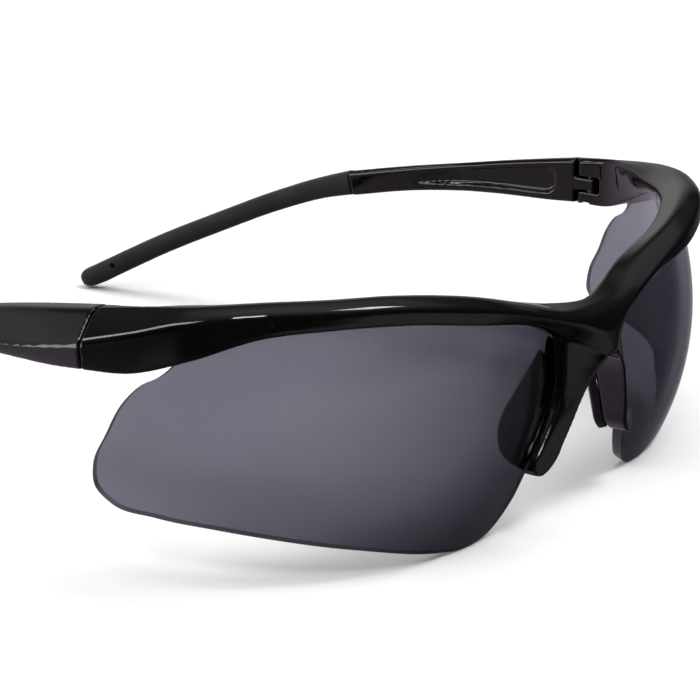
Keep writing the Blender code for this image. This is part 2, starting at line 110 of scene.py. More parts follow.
# Nose pads: the soft wing's free edge, from the top of the prong round to its foot.
PAD_EDGE = ((8.2, -37.3, 25.0), (9.0, -36.9, 23.5), (11.3, -36.0, 20.4), (13.6, -35.0, 16.2),
            (14.6, -34.7, 12.4), (14.7, -35.4, 9.8), (13.9, -36.4, 8.0))
PAD_ROOT_STATIONS = slice(2, 9)             # the prong stations that the pad is fixed behind
PAD_ROOT_THICKNESS = 1.6
PAD_EDGE_THICKNESS = 0.9
PAD_ROUNDING = (0.25, 0.4, 0.42, 0.42, 0.6)
PAD_STEPS = 150
PAD_ACROSS = 14                             # points over the ribbed side, from the thin edge to the root
PAD_RIBS = 9
PAD_RIB_DEPTH = 0.22
PAD_RIB_END_FADE = 8                        # the ribs reach full depth 1/8 of the pad's length from its ends
PAD_RIB_SIDE_FADE = 5                       # and 1/5 of its width from its sides

HINGE_X = 66.0
HINGE_Y = -2.5
TONGUE_LOW = 32.8
TONGUE_HIGH = 35.2
TONGUE_RADIUS = 2.0
TONGUE_HEEL = 1.4                           # how far in front of the axis the tongue's inner side is square
TONGUE_ROOT = 2.0
SLOT_FRONT = -5.2
SLOT_REAR = 1.0
SLOT_OUTER_X = 68.6
SLOT_INNER_X = 61.0
EAR_CHAMFER_REACH = 2.6                     # distance from the hinge axis to the ears' chamfered corner
EAR_CHAMFER_HALF = 3.0
EAR_CHAMFER_TALL = 14.0
EAR_CHAMFER_MIDDLE = 34.5
BORE_RADIUS = 1.1
BORE_LOW = 28.0
BORE_TOP = 37.6
SCREW_RADIUS = 0.9
SCREW_HEAD_RADIUS = 1.6
SCREW_HEAD_HEIGHT = 0.9
SCREW_LOW = 30.4
SCREW_HIGH = 37.3
HEAD_BEVEL = (0.25, 0.2)                    # inwards and upwards
TIP_BEVEL = 0.3
DRIVER_SLOT_HALF = 0.22
DRIVER_SLOT_DEPTH = 0.45
DRIVER_SLOT_REACH = 3
ROUND_SIDES = 48

# Temples: stations along y, each with how far it leans back for each millimetre of height, and with
# corners (x, z) in the order lower inner, lower outer, outer crease, top outer, top inner.
TEMPLE_STATIONS = (
    (0.3, 0.0, ((64.0, 30.2), (70.4, 30.0), (70.8, 33.8), (67.2, 38.6), (64.0, 38.7))),
    (6.0, 0.0, ((64.0, 29.9), (69.8, 29.3), (70.5, 32.3), (67.2, 37.7), (64.0, 37.9))),
    (17.0, 0.0, ((64.0, 29.6), (68.8, 28.7), (69.6, 30.3), (66.8, 35.9), (64.0, 36.2))),
    (25.0, 0.0, ((64.0, 29.1), (68.0, 28.3), (68.8, 29.6), (66.4, 34.5), (64.0, 34.8))),
    (38.0, 0.1, ((62.6, 27.7), (66.4, 27.1), (67.2, 28.3), (65.2, 32.4), (62.6, 32.6))),
    (51.4, 0.28, ((61.1, 25.2), (64.6, 24.9), (65.4, 26.0), (64.0, 29.8), (61.1, 30.0))),
)
TEMPLE_ROUNDING = (0.7, 0.6, 1.4, 1.1, 0.8)
TEMPLE_STEPS = 110
RECESS_FIRST_Y = 4.2                        # the shallow channel moulded into the temple's inner face
RECESS_LAST_Y = 38.0
RECESS_DEPTH = 0.55
RECESS_BORDER = 1.25
RECESS_FADE = 16.0
RECESS_DRAFT = 0.9                          # the channel's floor is this share of its mouth's height
RECESS_ROUNDING = (0.1, 0.1, 0.3, 0.3)
RECESS_STEPS = 160

# Sleeve: centre line (x, y, z), half width and half height, from its mouth to the tip.
SLEEVE_STATIONS = (
    (63.1, 51.9, 27.5, 2.35, 2.75),
    (62.3, 59.0, 25.6, 2.3, 2.45),
    (60.7, 70.0, 21.6, 2.3, 2.3),
    (58.5, 84.0, 15.5, 2.4, 2.3),
    (55.7, 98.0, 9.0, 2.4, 2.35),
    (53.0, 109.0, 3.2, 2.3, 2.4),
    (51.9, 113.5, 0.8, 2.3, 2.4),
    (51.2, 116.2, -0.45, 2.0, 2.1),
    (50.9, 117.2, -0.9, 1.2, 1.3),
)
SLEEVE_STEPS = 120
SLEEVE_SIDES = 48
CORE_STEPS = 60
CORE_SIDES = 24
CORE_MARGIN = 1.05                          # how far the temple's tail lies inside the sleeve's skin
CORE_END_Y = 104.0
CORE_OVERLAP = 4.0                          # how far the tail starts inside the temple
POCKET_MOUTH = 2.0                          # how far the pocket's cutter stands out of the sleeve's mouth
POCKET_PLAY = 1.5                           # free length past the tail's end
CORD_HOLE_Y = 108.6
CORD_HOLE_RADIUS = 0.6
CORD_HOLE_LENGTH = 10

# The sleeve's section is a circle pushed out towards a square.
SLEEVE_SQUARE_SCALE = 0.9
SLEEVE_SQUARE_POWER = 5
SLEEVE_SQUARE_PUSH = 0.12

# Size of the remeshed faces in millimetres, and smoothing passes.
FINE = 0.2
PAD_FINE = FINE * 0.6
TEMPLE_FINE = FINE * 1.05
SLEEVE_FINE = FINE * 0.9
FRONT_PASSES = 5
PAD_PASSES = 2
TONGUE_PASSES = 1
TEMPLE_PASSES = 7
SLEEVE_PASSES = 3
SIDES = ((1, "left"), (-1, "right"))


# ---------------------------------------------------------------- curves and skins

def smooth_through(points, count, first=0, last=-1):
    """Sample a smooth curve through all the points, or the part of it from point first to point last."""
    points = np.asarray(points, float)
    spans = np.linalg.norm(np.diff(points, axis=0), axis=1)
    knots = np.concatenate([[0.0], np.cumsum(spans)])
    slopes = np.gradient(points, knots, axis=0)
    along = np.linspace(knots[first], knots[last], count)
    piece = np.clip(np.searchsorted(knots, along, side="right") - 1, 0, len(points) - 2)
    width = (knots[piece + 1] - knots[piece])[:, None]
    u = (along - knots[piece])[:, None] / width
    start, end = points[piece], points[piece + 1]
    return ((1 + 2 * u) * (1 - u) ** 2 * start + u * (1 - u) ** 2 * width * slopes[piece]
            + u ** 2 * (3 - 2 * u) * end - u ** 2 * (1 - u) * width * slopes[piece + 1])


def rounded(corners, radii, steps=6):
    """Round a closed polygon: each corner becomes a short curve of steps + 1 points."""
    ring = []
    total = len(corners)
    for i, corner in enumerate(corners):
        before = corners[i - 1] - corner
        after = corners[(i + 1) % total] - corner
        reach_before = min(radii[i], 0.45 * np.linalg.norm(before))
        reach_after = min(radii[i], 0.45 * np.linalg.norm(after))
        start = corner + before / np.linalg.norm(before) * reach_before
        end = corner + after / np.linalg.norm(after) * reach_after
        for k in range(steps + 1):
            t = k / steps
            ring.append((1 - t) ** 2 * start + 2 * t * (1 - t) * corner + t ** 2 * end)
    return np.array(ring)


def placed(p, side=1):
    """A design point in millimetres as a point of the CAD model's frame in metres."""
    return Vector((side * p[0], p[1] - MIDDLE_Y, p[2] + STAND_HEIGHT)) * MM


def new_object(name, shape):
    mesh = bpy.data.meshes.new(name)
    shape.to_mesh(mesh)
    shape.free()
    made = bpy.data.objects.new(name, mesh)
    bpy.context.scene.collection.objects.link(made)
    return made


def facing_out(shape):
    bmesh.ops.recalc_face_normals(shape, faces=shape.faces)
    if shape.calc_volume(signed=True) < 0:
        bmesh.ops.reverse_faces(shape, faces=shape.faces)


def loft(name, rings, side=1):
    """Join equal rings of points into a closed skin with fans over its ends."""
    shape = bmesh.new()
    loops = [[shape.verts.new(placed(p, side)) for p in ring] for ring in rings]
    total = len(loops[0])
    for near, far in zip(loops, loops[1:]):
        for i in range(total):
            j = (i + 1) % total
            shape.faces.new((near[i], near[j], far[j], far[i]))
    for loop in (loops[0], loops[-1]):
        middle = shape.verts.new(sum((v.co for v in loop), Vector()) / total)
        for i in range(total):
            shape.faces.new((loop[i], loop[(i + 1) % total], middle))
    facing_out(shape)
    return new_object(name, shape)


def round_bar(name, radius, length, matrix):
    shape = bmesh.new()
    bmesh.ops.create_cone(shape, cap_ends=True, segments=ROUND_SIDES, radius1=radius * MM,
                          radius2=radius * MM, depth=length * MM, matrix=matrix)
    return new_object(name, shape)


def cylinder(name, x, y, low, high, radius, side):
    middle = placed((x, y, (low + high) / 2), side)
    return round_bar(name, radius, high - low, Matrix.Translation(middle))


def block(name, low, high, side):
    low, high = Vector(low), Vector(high)
    shape = bmesh.new()
    bmesh.ops.create_cube(shape, size=MM, matrix=Matrix.Translation(placed((low + high) / 2, side))
                          @ Matrix.Diagonal((*(high - low), 1)))
    return new_object(name, shape)


def settle(made):
    """Turn an object's modifiers into its own mesh."""
    bpy.context.view_layer.update()
    seen = made.evaluated_get(bpy.context.evaluated_depsgraph_get())
    mesh = bpy.data.meshes.new_from_object(seen)
    made.modifiers.clear()
    old = made.data
    made.data = mesh
    bpy.data.meshes.remove(old)
    mesh.name = made.name


def combine(target, tools, operation):
    for tool in tools:
        step = target.modifiers.new(operation.title(), "BOOLEAN")
        step.operation = operation
        step.object = tool
    settle(target)
    for tool in tools:
        bpy.data.objects.remove(tool, do_unlink=True)


def join(target, others):
    """Put other closed shapes into target's mesh; a voxel remesh then fuses them."""
    shape = bmesh.new()
    shape.from_mesh(target.data)
    for other in others:
        shape.from_mesh(other.data)
        bpy.data.objects.remove(other, do_unlink=True)
    shape.to_mesh(target.data)
    shape.free()


def melt(target, size, passes):
    """Remesh into one even skin with small rounded edges and fillets."""
    step = target.modifiers.new("Remesh", "REMESH")
    step.mode = "VOXEL"
    step.voxel_size = size * MM
    step.use_smooth_shade = True
    soft = target.modifiers.new("Soften", "SMOOTH")
    soft.factor = 0.5
    soft.iterations = passes
    settle(target)
    target.data.shade_smooth()


# ---------------------------------------------------------------- materials

class Finish:
    """A procedural material built round one Principled shader."""

    def __init__(self, name):
        self.material = bpy.data.materials.new(name)
        self.material.use_nodes = True
        self.tree = self.material.node_tree
        self.shader = self.tree.nodes["Principled BSDF"]
        self.place = self.tree.nodes.new("ShaderNodeTexCoord").outputs["Object"]

    def stretch(self, scale):
        node = self.tree.nodes.new("ShaderNodeMapping")
        node.inputs["Scale"].default_value = scale
        self.tree.links.new(self.place, node.inputs["Vector"])
        return node.outputs["Vector"]

    def noise(self, scale, detail=4.0, roughness=0.5, place=None):
        node = self.tree.nodes.new("ShaderNodeTexNoise")
        node.inputs["Scale"].default_value = scale
        node.inputs["Detail"].default_value = detail
        node.inputs["Roughness"].default_value = roughness
        self.tree.links.new(place or self.place, node.inputs["Vector"])
        return node.outputs["Fac"]

    def cells(self, scale):
        node = self.tree.nodes.new("ShaderNodeTexVoronoi")
        node.inputs["Scale"].default_value = scale
        self.tree.links.new(self.place, node.inputs["Vector"])
        return node.outputs["Distance"]

    def between(self, value, low, high, start=0.0, end=1.0):
        """Map value from low..high to start..end, clamped."""
        node = self.tree.nodes.new("ShaderNodeMapRange")
        node.inputs["From Min"].default_value = low
        node.inputs["From Max"].default_value = high
        node.inputs["To Min"].default_value = start
        node.inputs["To Max"].default_value = end
        self.tree.links.new(value, node.inputs["Value"])
        return node.outputs["Result"]

    def math(self, operation, first, second):
        node = self.tree.nodes.new("ShaderNodeMath")
        node.operation = operation
        self.tree.links.new(first, node.inputs[0])
        if isinstance(second, float):
            node.inputs[1].default_value = second
        else:
            self.tree.links.new(second, node.inputs[1])
        return node.outputs[0]

    def blend(self, share, first, second):
        node = self.tree.nodes.new("ShaderNodeMix")
        node.data_type = "RGBA"
        self.tree.links.new(share, node.inputs["Factor"])
        for socket, colour in ((node.inputs["A"], first), (node.inputs["B"], second)):
            if isinstance(colour, tuple):
                socket.default_value = (*colour, 1.0)
            else:
                self.tree.links.new(colour, socket)
        return node.outputs["Result"]

    def painted_shade_grade(self, span):
        """0 at span[0] millimetres out and up from the middle of the glasses' foot, and 1 at span[1]; the
        lens tint's painted shade follows it.
        """
        split = self.tree.nodes.new("ShaderNodeSeparateXYZ")
        self.tree.links.new(self.place, split.inputs["Vector"])
        outward = self.tree.nodes.new("ShaderNodeMath")
        outward.operation = "ABSOLUTE"
        self.tree.links.new(split.outputs["X"], outward.inputs[0])
        rise = self.math("MULTIPLY", split.outputs["Z"], LENS_PAINTED_SHADE_RISE)
        reach = self.math("ADD", outward.outputs[0], rise)
        return self.between(reach, span[0] * MM, span[1] * MM)

    def edges(self, low, high):
        """1 on sharp convex edges and 0 elsewhere."""
        node = self.tree.nodes.new("ShaderNodeNewGeometry")
        return self.between(node.outputs["Pointiness"], low, high)

    def bump(self, heights):
        """Stack (height, strength, distance in metres) into one normal."""
        below = None
        for height, strength, distance in heights:
            node = self.tree.nodes.new("ShaderNodeBump")
            node.inputs["Strength"].default_value = strength
            node.inputs["Distance"].default_value = distance
            self.tree.links.new(height, node.inputs["Height"])
            if below:
                self.tree.links.new(below, node.inputs["Normal"])
            below = node.outputs["Normal"]
        self.tree.links.new(below, self.shader.inputs["Normal"])

    def drive(self, name, value):
        self.tree.links.new(value, self.shader.inputs[name])

    def fix(self, **values):
        for name, value in values.items():
            self.shader.inputs[name.replace("_", " ")].default_value = value


def gloss_black(name, low_colour, high_colour, wear_colour):
    """Polished moulded plastic: faint ripple, finger smudges, hairline rubs and paler edges."""
    made = Finish(name)
    made.fix(IOR=1.52, Specular_IOR_Level=0.5)
    tone = made.blend(made.between(made.noise(70.0), 0.35, 0.65), low_colour, high_colour)
    worn = made.math("MULTIPLY", made.edges(0.57, 0.66),
                     made.between(made.noise(380.0, 6.0), 0.42, 0.62))
    made.drive("Base Color", made.blend(worn, tone, wear_colour))
    smudge = made.between(made.noise(110.0, 6.0, 0.62), 0.50, 0.72, 0.0, 0.10)
    hairlines = made.noise(1.0, 3.0, 0.6, made.stretch((2600.0, 190.0, 2600.0)))
    rub = made.between(hairlines, 0.60, 0.72, 0.0, 0.09)
    rough = made.math("ADD", made.math("ADD", smudge, rub), made.math("MULTIPLY", worn, 0.16))
    made.drive("Roughness", made.math("ADD", rough, 0.05))
    made.bump(((made.noise(140.0, 1.0), 0.20, 0.0002), (made.noise(1500.0, 2.0), 0.03, 0.00002)))
    return made.material


def soft_rubber(name, low_colour, high_colour, dust_colour, base_roughness):
    """Matt moulded rubber with a fine grain and a little dust in it."""
    made = Finish(name)
    made.fix(IOR=1.48, Specular_IOR_Level=0.35, Sheen_Weight=0.12, Sheen_Roughness=0.5)
    tone = made.blend(made.between(made.noise(120.0), 0.35, 0.65), low_colour, high_colour)
    dust = made.between(made.noise(900.0, 5.0, 0.7), 0.60, 0.78, 0.0, 0.5)
    made.drive("Base Color", made.blend(dust, tone, dust_colour))
    made.drive("Roughness", made.between(made.noise(260.0, 5.0), 0.3, 0.7, base_roughness - 0.08,
                                         base_roughness + 0.10))
    made.bump(((made.cells(4200.0), 0.22, 0.00005), (made.noise(2600.0, 3.0), 0.25, 0.00005)))
    return made.material


def smoke_lens(name):
    """Tinted polycarbonate, polished, with the faintest wipe marks. Its tint holds painted shade: darker
    towards the nose and the bottom, paler towards its upper outer corner.
    """
    made = Finish(name)
    made.fix(IOR=1.586, Transmission_Weight=1.0)
    # Painted shade: the tint is graded darker towards the nose and the bottom of the lens, with a random
    # cloud of tone on top.
    painted_shade_grade = made.math("POWER", made.painted_shade_grade(LENS_PAINTED_SHADE_SPAN), LENS_PAINTED_SHADE_POWER)
    cloud = made.between(made.noise(22.0, 2.0), 0.35, 0.65, -0.03, 0.03)
    shade = made.math("ADD", painted_shade_grade, cloud)
    made.drive("Base Color", made.blend(shade, (0.034, 0.034, 0.048), (0.138, 0.138, 0.172)))
    marks = made.noise(1.0, 3.0, 0.6, made.stretch((40.0, 40.0, 420.0)))
    wipe = made.between(marks, 0.55, 0.80, 0.0, 0.035)
    made.drive("Roughness", made.math("ADD", wipe, 0.008))
    made.bump(((made.noise(60.0, 1.0), 0.03, 0.0001),))
    return made.material


def ground_rim(name):
    """The lens's cut edge: the same tinted plastic, duller and darker."""
    made = Finish(name)
    made.fix(IOR=1.586, Transmission_Weight=0.35)
    tone = made.between(made.noise(500.0), 0.35, 0.65)
    made.drive("Base Color", made.blend(tone, (0.016, 0.015, 0.018), (0.028, 0.026, 0.031)))
    made.drive("Roughness", made.between(made.noise(1400.0, 4.0), 0.3, 0.7, 0.28, 0.42))
    made.bump(((made.noise(1.0, 3.0, 0.6, made.stretch((500.0, 500.0, 4200.0))), 0.15, 0.00003),))
    return made.material


def screw_steel(name):
    """Steel turned on a lathe, with brushed marks round it."""
    made = Finish(name)
    made.fix(Metallic=1.0)
    tone = made.between(made.noise(900.0, 5.0), 0.35, 0.65)
    made.drive("Base Color", made.blend(tone, (0.42, 0.42, 0.43), (0.62, 0.61, 0.60)))
    brushed = made.noise(1.0, 4.0, 0.6, made.stretch((9000.0, 900.0, 900.0)))
    made.drive("Roughness", made.between(brushed, 0.3, 0.7, 0.22, 0.42))
    made.bump(((brushed, 0.15, 0.00002),))
    return made.material


def matt_floor(name):
    """Matt white paper that glows where the lamps no longer reach it, so that it stays white far away."""
    made = Finish(name)
    away = made.tree.nodes.new("ShaderNodeVectorMath")
    away.operation = "LENGTH"
    made.tree.links.new(made.place, away.inputs[0])
    made.fix(Emission_Color=(1.0, 1.0, 1.0, 1.0))
    made.drive("Emission Strength", made.between(away.outputs["Value"], *PAPER_GLOW))
    tone = made.between(made.noise(6.0, 3.0), 0.3, 0.7)
    made.drive("Base Color", made.blend(tone, (0.90, 0.90, 0.90), (0.93, 0.93, 0.93)))
    made.drive("Roughness", made.between(made.noise(40.0), 0.3, 0.7, 0.85, 0.95))
    made.fix(Specular_IOR_Level=0.1)
    return made.material


# ---------------------------------------------------------------- lenses

def lens_point(angle, height, radius):
    """A point on the lens's curved face, given its angle round the sphere in degrees and its height."""
    lift = math.asin((height - LENS_CENTRE[2]) / LENS_RADIUS)
    turn = math.radians(angle)
    forward = math.cos(turn) if turn > 0 else 1 - NOSE_CURVE * (1 - math.cos(turn))
    return Vector((LENS_CENTRE[0] + radius * math.cos(lift) * math.sin(turn),
                   LENS_CENTRE[1] - radius * math.cos(lift) * forward,
                   LENS_CENTRE[2] + radius * math.sin(lift)))


def lens_grid(columns, rows):
    """Blend the outline's four sides into a grid of (angle, height) pairs. Its lower corners are rounded."""
    chain = LENS_NOSE_EDGE[::-1] + LENS_LOWER_EDGE[1:] + LENS_OUTER_EDGE[1:]
    lower_start = len(LENS_NOSE_EDGE) - 1
    lower_end = lower_start + len(LENS_LOWER_EDGE) - 1
    ends = (0, lower_start, lower_end, len(chain) - 1)
    nose, lower, outer = (smooth_through(chain, count, first, last)
                          for count, first, last in zip((rows, columns, rows), ends, ends[1:]))
    nose = nose[::-1]
    top = smooth_through(LENS_TOP_EDGE, columns)
    u = np.linspace(0.0, 1.0, columns)[:, None, None]
    v = np.linspace(0.0, 1.0, rows)[None, :, None]
    sides = (1 - v) * lower[:, None] + v * top[:, None] + (1 - u) * nose[None] + u * outer[None]
    corners = ((1 - u) * (1 - v) * lower[0] + u * (1 - v) * lower[-1]
               + (1 - u) * v * top[0] + u * v * top[-1])
    return sides - corners


def lens_face(name, side, proud=0.0, spread=0.0, columns=LENS_COLUMNS, rows=LENS_ROWS):
    """The lens's outer face as an open sheet, raised by proud and widened at its edges by spread."""
    grid = lens_grid(columns, rows)
    points = [[lens_point(*grid[i, j], LENS_RADIUS + proud) for j in range(rows)] for i in range(columns)]
    if spread:
        for i in range(columns):
            points[i][0] += (points[i][0] - points[i][1]).normalized() * spread
            points[i][-1] += (points[i][-1] - points[i][-2]).normalized() * spread
        for j in range(rows):
            points[0][j] += (points[0][j] - points[1][j]).normalized() * spread
            points[-1][j] += (points[-1][j] - points[-2][j]).normalized() * spread
    shape = bmesh.new()
    lines = [[shape.verts.new(placed(p, side)) for p in column] for column in points]
    for i in range(columns - 1):
        for j in range(rows - 1):
            corners = [lines[i][j], lines[i + 1][j], lines[i + 1][j + 1], lines[i][j + 1]]
            shape.faces.new(corners if side > 0 else corners[::-1])
    return new_object(name, shape)


def thicken(target, thickness):
    shell = target.modifiers.new("Thickness", "SOLIDIFY")
    shell.thickness = thickness * MM
    shell.offset = -1.0


def build_lens(side, suffix, material, rim_material):
    lens = lens_face(f"visual_lens_{suffix}", side)
    thicken(lens, LENS_THICKNESS)
    lens.modifiers["Thickness"].material_offset_rim = 1
    lens.data.materials.append(material)
    lens.data.materials.append(rim_material)
    rim = lens.modifiers.new("Rim", "BEVEL")
    rim.width = LENS_RIM * MM
    rim.segments = LENS_RIM_STEPS
    rim.limit_method = "ANGLE"
    rim.angle_limit = math.radians(50)
    settle(lens)
    lens.data.shade_smooth()
    even = lens.modifiers.new("Even shading", "WEIGHTED_NORMAL")
    even.keep_sharp = False
    settle(lens)
    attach(lens, "front")
    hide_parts(f"lens_{suffix}")


# ---------------------------------------------------------------- front frame

def brow_rings():
    """Sections from one hinge seam across the middle to the other."""
    half = np.reshape(BROW_STATIONS, (len(BROW_STATIONS), -1))
    mirrored = half[:0:-1].copy()
    mirrored[:, ::3] *= -1
    whole = smooth_through(np.concatenate([mirrored, half]), 2 * BROW_STEPS + 1)
    return [rounded(ring.reshape(5, 3), BROW_ROUNDING) for ring in whole]


def prong_rings():
    corners = smooth_through(np.reshape(PRONG_STATIONS, (len(PRONG_STATIONS), -1)), PRONG_STEPS)
    return [rounded(ring.reshape(4, 3), PRONG_ROUNDING) for ring in corners]


def ear_chamfer(name, side):
    """A tall cutter whose flat face stands across the ears' inner rear corner."""
    shape = bmesh.new()
    place = Matrix.Translation(Vector((HINGE_X, HINGE_Y, EAR_CHAMFER_MIDDLE)) * MM)
    turn = Matrix.Rotation(math.radians(135), 4, "Z")
    away = Matrix.Translation(Vector((EAR_CHAMFER_REACH + EAR_CHAMFER_HALF, 0.0, 0.0)) * MM)
    size = Matrix.Diagonal((2 * EAR_CHAMFER_HALF, 2 * EAR_CHAMFER_HALF, EAR_CHAMFER_TALL, 1))
    bmesh.ops.create_cube(shape, size=MM, matrix=place @ turn @ away @ size)
    bmesh.ops.translate(shape, vec=Vector((0.0, -MIDDLE_Y, STAND_HEIGHT)) * MM, verts=shape.verts)
    if side < 0:
        bmesh.ops.scale(shape, vec=(-1, 1, 1), verts=shape.verts)
        bmesh.ops.reverse_faces(shape, faces=shape.faces)
    return new_object(name, shape)


def build_front(material):
    front = loft("visual_front_frame", brow_rings())
    prongs = [loft(f"prong_{suffix}", prong_rings(), side) for side, suffix in SIDES]
    combine(front, prongs, "UNION")
    tools = []
    for side, suffix in SIDES:
        groove = lens_face(f"groove_{suffix}", side, SMALL_GAP, SMALL_GAP, GROOVE_COLUMNS, GROOVE_ROWS)
        thicken(groove, LENS_THICKNESS + 2 * SMALL_GAP)
        settle(groove)
        tools += [
            groove,
            block(f"slot_{suffix}", (SLOT_INNER_X, SLOT_FRONT, TONGUE_LOW - GAP),
                  (SLOT_OUTER_X, SLOT_REAR, TONGUE_HIGH + GAP), side),
            cylinder(f"bore_{suffix}", HINGE_X, HINGE_Y, BORE_LOW, BORE_TOP, BORE_RADIUS, side),
            cylinder(f"seat_{suffix}", HINGE_X, HINGE_Y, BORE_LOW, SCREW_LOW + SCREW_HEAD_HEIGHT + GAP,
                     SCREW_HEAD_RADIUS + GAP, side),
            ear_chamfer(f"ear_{suffix}", side),
        ]
    combine(front, tools, "DIFFERENCE")
    melt(front, FINE, FRONT_PASSES)
    front.data.materials.append(material)
    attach(front, "front")
    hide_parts("front_frame")


# ---------------------------------------------------------------- nose pads

def pad_rings():
    """Sections of a pad on the prong's rear face, tapering to a thin curved edge, ribbed on the nose side."""
    stations = np.array(PRONG_STATIONS)[PAD_ROOT_STATIONS]
    outer = smooth_through(stations[:, 2], PAD_STEPS)
    inner = smooth_through(stations[:, 3], PAD_STEPS)
    edge = smooth_through(PAD_EDGE, PAD_STEPS)
    rearward = np.cross(outer - inner, np.gradient((inner + outer) / 2, axis=0))
    rearward /= np.linalg.norm(rearward, axis=1)[:, None]
    rings = []
    steps = 4
    turn = 4 * (steps + 1)                  # where the thin edge's rounding ends and the root's begins
    for k, (near, far, tip, out) in enumerate(zip(inner, outer, edge, rearward)):
        share = k / (PAD_STEPS - 1)
        end = min(1.0, PAD_RIB_END_FADE * min(share, 1 - share))
        rib = PAD_RIB_DEPTH * (0.5 - 0.5 * math.cos(math.tau * PAD_RIBS * share)) * end
        ring = rounded(np.array((near + SMALL_GAP * out, far + SMALL_GAP * out, tip,
                                 tip + PAD_EDGE_THICKNESS * out, near + PAD_ROOT_THICKNESS * out)),
                       PAD_ROUNDING, steps)
        nose_side = []
        for t in np.linspace(0.0, 1.0, PAD_ACROSS)[1:-1]:
            sunk = rib * min(1.0, PAD_RIB_SIDE_FADE * t, PAD_RIB_SIDE_FADE * (1 - t))
            nose_side.append(ring[turn - 1] * (1 - t) + ring[turn] * t - out * sunk)
        rings.append(np.concatenate([ring[:turn], nose_side, ring[turn:]]))
    return rings


def build_pad(side, suffix, material):
    pad = loft(f"visual_nose_pad_{suffix}", pad_rings(), side)
    melt(pad, PAD_FINE, PAD_PASSES)
    pad.data.materials.append(material)
    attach(pad, "front")
    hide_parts(f"nose_pad_{suffix}")


# ---------------------------------------------------------------- hinges, temples and sleeves

def build_screw(side, suffix, material):
    neck = SCREW_LOW + SCREW_HEAD_HEIGHT
    profile = ((SCREW_HEAD_RADIUS - HEAD_BEVEL[0], SCREW_LOW), (SCREW_HEAD_RADIUS, SCREW_LOW + HEAD_BEVEL[1]),
               (SCREW_HEAD_RADIUS, neck), (SCREW_RADIUS, neck), (SCREW_RADIUS, SCREW_HIGH - TIP_BEVEL),
               (SCREW_RADIUS - TIP_BEVEL, SCREW_HIGH))
    turns = [math.tau * i / ROUND_SIDES for i in range(ROUND_SIDES)]
    rings = [[(HINGE_X + radius * math.cos(turn), HINGE_Y + radius * math.sin(turn), height)
              for turn in turns] for radius, height in profile]
    screw = loft(f"visual_hinge_screw_{suffix}", rings, side)
    driver_slot = block(f"driver_slot_{suffix}",
                        (HINGE_X - DRIVER_SLOT_REACH, HINGE_Y - DRIVER_SLOT_HALF, SCREW_LOW - 1),
                        (HINGE_X + DRIVER_SLOT_REACH, HINGE_Y + DRIVER_SLOT_HALF,
                         SCREW_LOW + DRIVER_SLOT_DEPTH), side)
    combine(screw, [driver_slot], "DIFFERENCE")
    screw.data.shade_smooth()
    screw.data.set_sharp_from_angle(angle=math.radians(30))
    screw.data.materials.append(material)
    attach(screw, "front")
    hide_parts(f"hinge_screw_{suffix}")


def temple_corners(count):
    """The temple's five corners at each of count places along it."""
    flat = [np.concatenate([[y, lean], np.ravel(corners)]) for y, lean, corners in TEMPLE_STATIONS]
    found = []
    for row in smooth_through(flat, count):
        y, lean = row[:2]
        corners = row[2:].reshape(5, 2)
        middle = corners[:, 1].mean()
        found.append(np.array([(x, y + lean * (z - middle), z) for x, z in corners]))
    return found


def sleeve_rings(shrink=0.0, first=0.0, last_y=None, steps=SLEEVE_STEPS, sides=SLEEVE_SIDES):
    """Rounded-square rings square to the sleeve's centre line, shrunk inside its skin by shrink."""
    track = smooth_through(SLEEVE_STATIONS, steps)
    if last_y is not None:
        track = track[track[:, 1] < last_y]
    rings = []
    for k, (x, y, z, half_width, half_height) in enumerate(track):
        ahead = track[min(k + 1, len(track) - 1), :3] - track[max(k - 1, 0), :3]
        ahead /= np.linalg.norm(ahead)
        lateral = np.cross(ahead, (0.0, 0.0, 1.0))
        lateral /= np.linalg.norm(lateral)
        upward = np.cross(lateral, ahead)
        centre = np.array((x, y, z)) + ahead * (first if k == 0 else 0.0)
        ring = []
        for i in range(sides):
            turn = math.tau * (i + 0.5) / sides
            corner = (abs(math.cos(turn)) ** SLEEVE_SQUARE_POWER
                      + abs(math.sin(turn)) ** SLEEVE_SQUARE_POWER)
            squared = SLEEVE_SQUARE_SCALE / corner ** SLEEVE_SQUARE_PUSH
            ring.append(centre + lateral * (half_width - shrink) * squared * math.cos(turn)
                        + upward * (half_height - shrink) * squared * math.sin(turn))
        rings.append(np.array(ring))
    return rings


def recess_rings():
    """A shallow channel in the temple's inner face, fading out towards the sleeve."""
    rings = []
    for corners in temple_corners(RECESS_STEPS):
        low, high = corners[0], corners[4]
        y = (low[1] + high[1]) / 2
        if not RECESS_FIRST_Y < y < RECESS_LAST_Y:
            continue
        middle = (low + high) / 2
        half = (high - low) / 2
        half *= 1 - RECESS_BORDER / np.linalg.norm(half)
        start = min(1.0, (y - RECESS_FIRST_Y) / np.linalg.norm(half))
        half *= math.sqrt(max(0.02, 1 - (1 - start) ** 2))
        fade = min(1.0, (RECESS_LAST_Y - y) / RECESS_FADE)
        inward = np.array((RECESS_DEPTH * fade, 0.0, 0.0))
        outward = np.array((-1.0, 0.0, 0.0))
        rings.append(rounded(np.array((middle - half + outward, middle + half + outward,
                                       middle + half * RECESS_DRAFT + inward,
                                       middle - half * RECESS_DRAFT + inward)), RECESS_ROUNDING, 3))
    return rings


